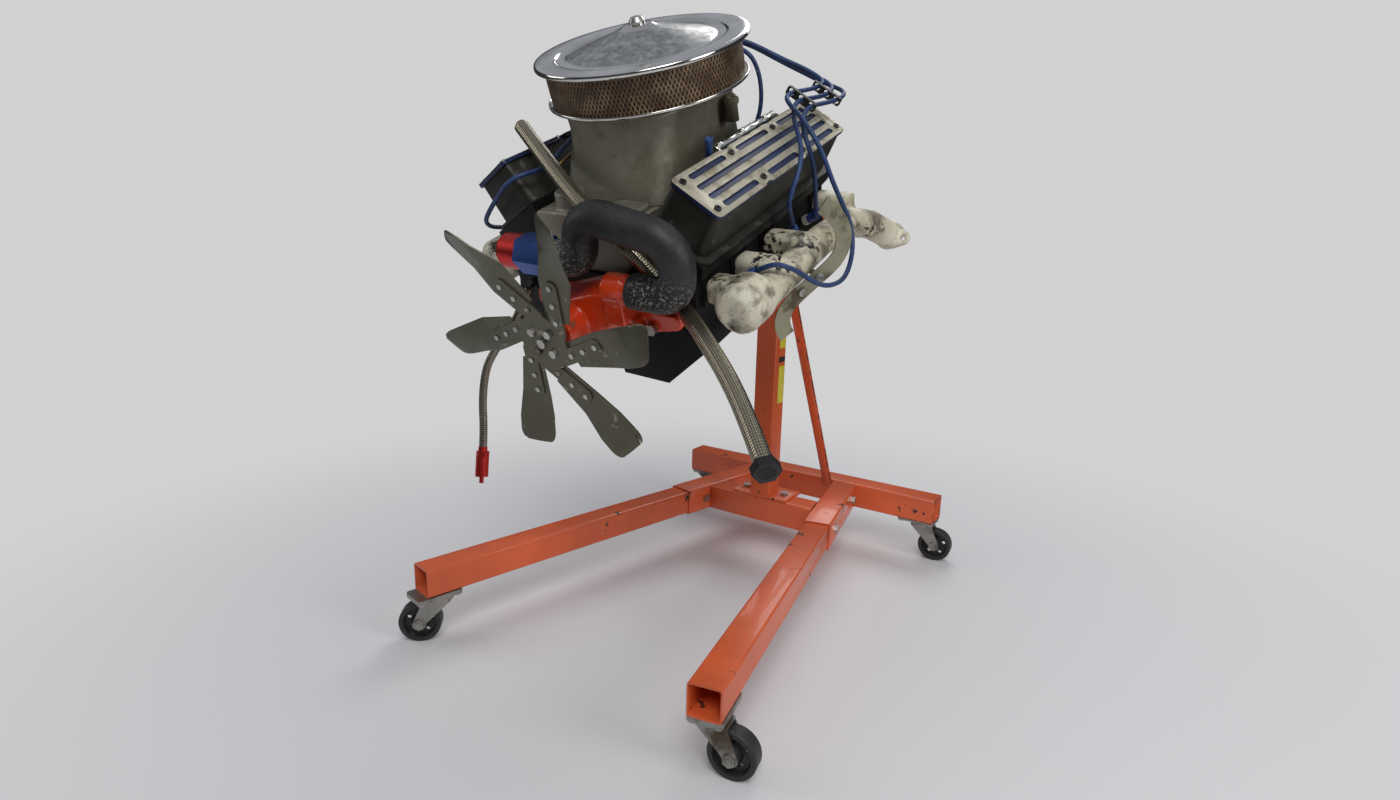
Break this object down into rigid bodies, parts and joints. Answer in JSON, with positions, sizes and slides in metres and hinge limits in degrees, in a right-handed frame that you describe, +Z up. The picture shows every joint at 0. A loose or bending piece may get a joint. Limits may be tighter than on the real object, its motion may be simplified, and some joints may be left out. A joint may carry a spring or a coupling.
{
  "type": "v8 petrol engine on an orange rolling engine stand",
  "caption": "V8 petrol engine with round air cleaner, six-blade fan and white exhaust manifolds, held nose-down on an orange rolling stand with swivel casters.",
  "frame": {"origin": "on the floor, under the middle of the whole object without its free hoses", "axes": "+Z up, the engine's nose and fan towards -Y, the engine's left bank towards +X"},
  "size_m": [0.8522, 1.1776, 1.1858],
  "materials": {
    "orange_paint": "orange enamel, scuffed",
    "bright_steel": "bare bolt steel",
    "black_steel": "black, dusty",
    "block_black": "black engine paint",
    "cast_alloy": "rough casting, stained",
    "cover_black": "satin black, dusty",
    "blue_plate": "plate with blue grooves",
    "lid_chrome": "chrome rim, dull cone inside",
    "filter_mesh": "brown wire mesh",
    "pump_red": "red-orange enamel",
    "fan_olive": "dull dark paint",
    "hose_rubber": "worn, speckled",
    "anodised_blue": "anodised",
    "anodised_red": "anodised",
    "braid": "woven wire",
    "header_white": "white coating, flaking",
    "shield_metal": "tarnished sheet",
    "wire_blue": "blue jacket",
    "distributor_black": "moulded",
    "caster_zinc": "dull zinc",
    "wheel_black": "hard wheel",
    "plug_white": "ceramic look"
  },
  "bodies": {
    "stand": {"rear_cross_tube": "orange_paint", "front_cross_tube": "orange_paint", "leg_socket_left": "orange_paint", "leg_socket_right": "orange_paint", "leg_left": "orange_paint", "leg_right": "orange_paint", "post": "orange_paint", "head_sleeve": "orange_paint", "brace_bar": "orange_paint", "stand_bolts": "bright_steel", "caster_plates": "caster_zinc"},
    "engine": {"air_cleaner_base": "lid_chrome", "air_cleaner_lid": "lid_chrome", "arm_bolts": "bright_steel", "blue_fitting": "anodised_blue", "braided_hose_large": "braid", "braided_hose_small": "braid", "cover_bolts": "bright_steel", "cover_plate_left": "blue_plate", "cover_plate_right": "blue_plate", "cylinder_block": "block_black", "cylinder_head_left": "block_black", "cylinder_head_right": "block_black", "distributor": "distributor_black", "engine_arms": "orange_paint", "engine_screws": "bright_steel", "exhaust_manifold_left": "header_white", "exhaust_manifold_right": "header_white", "filter_element": "filter_mesh", "head_plate": "orange_paint", "hose_fittings": "black_steel", "intake_manifold": "cast_alloy", "lid_knob": "bright_steel", "plenum": "cast_alloy", "plug_shield": "shield_metal", "plug_wires_left": "wire_blue", "plug_wires_right": "wire_blue", "red_end_fitting": "anodised_red", "red_socket": "anodised_red", "rubber_hose": "hose_rubber", "sender_lead": "wire_blue", "spark_plugs": "plug_white", "valve_cover_left": "cover_black", "valve_cover_right": "cover_black", "water_pump": "pump_red", "wire_combs": "distributor_black"},
    "fan_rotor": {"pump_shaft": "bright_steel", "fan_spider": "fan_olive", "fan_blades": "fan_olive", "fan_rivets": "bright_steel", "fan_bolts": "bright_steel"},
    "screw": {"clamp_screw": "bright_steel"},
    "fork_front_left": {"caster_fork_front_left": "caster_zinc"},
    "wheel_front_left": {"caster_wheel_front_left": "wheel_black"},
    "fork_front_right": {"caster_fork_front_right": "caster_zinc"},
    "wheel_front_right": {"caster_wheel_front_right": "wheel_black"},
    "fork_rear_left": {"caster_fork_rear_left": "caster_zinc"},
    "wheel_rear_left": {"caster_wheel_rear_left": "wheel_black"},
    "fork_rear_right": {"caster_fork_rear_right": "caster_zinc"},
    "wheel_rear_right": {"caster_wheel_rear_right": "wheel_black"}
  },
  "joints": [
    {"name": "head_turn", "type": "hinge", "parent": "stand", "child": "engine", "pos_m": [-0.012, 0.27125, 0.89], "axis": [0, -0.9239, -0.3827], "range_deg": [-54, 60]},
    {"name": "fan_spin", "type": "hinge", "parent": "engine", "child": "fan_rotor", "pos_m": [-0.00721, -0.4903, 0.63386], "axis": [0, -0.9239, -0.3827], "continuous": true},
    {"name": "screw_turn", "type": "hinge", "parent": "stand", "child": "screw", "pos_m": [-0.012, 0.30016, 0.95609], "axis": [0, -0.3827, 0.9239], "continuous": true},
    {"name": "swivel_front_left", "type": "hinge", "parent": "stand", "child": "fork_front_left", "pos_m": [0.30995, -0.46782, 0.09], "axis": [0, 0, 1], "continuous": true},
    {"name": "roll_front_left", "type": "hinge", "parent": "fork_front_left", "child": "wheel_front_left", "pos_m": [0.34737, -0.46122, 0.0406], "axis": [-0.1736, 0.9848, 0], "continuous": true},
    {"name": "swivel_front_right", "type": "hinge", "parent": "stand", "child": "fork_front_right", "pos_m": [-0.33395, -0.46782, 0.09], "axis": [0, 0, 1], "continuous": true},
    {"name": "roll_front_right", "type": "hinge", "parent": "fork_front_right", "child": "wheel_front_right", "pos_m": [-0.36219, -0.49325, 0.0406], "axis": [0.6691, -0.7431, 0], "continuous": true},
    {"name": "swivel_rear_left", "type": "hinge", "parent": "stand", "child": "fork_rear_left", "pos_m": [0.32075, 0.51775, 0.09], "axis": [0, 0, 1], "continuous": true},
    {"name": "roll_rear_left", "type": "hinge", "parent": "fork_rear_left", "child": "wheel_rear_left", "pos_m": [0.35861, 0.52106, 0.0406], "axis": [-0.0872, 0.9962, 0], "continuous": true},
    {"name": "swivel_rear_right", "type": "hinge", "parent": "stand", "child": "fork_rear_right", "pos_m": [-0.34475, 0.51775, 0.09], "axis": [0, 0, 1], "continuous": true},
    {"name": "roll_rear_right", "type": "hinge", "parent": "fork_rear_right", "child": "wheel_rear_right", "pos_m": [-0.32691, 0.5513, 0.0406], "axis": [-0.8829, 0.4695, 0], "continuous": true}
  ]
}
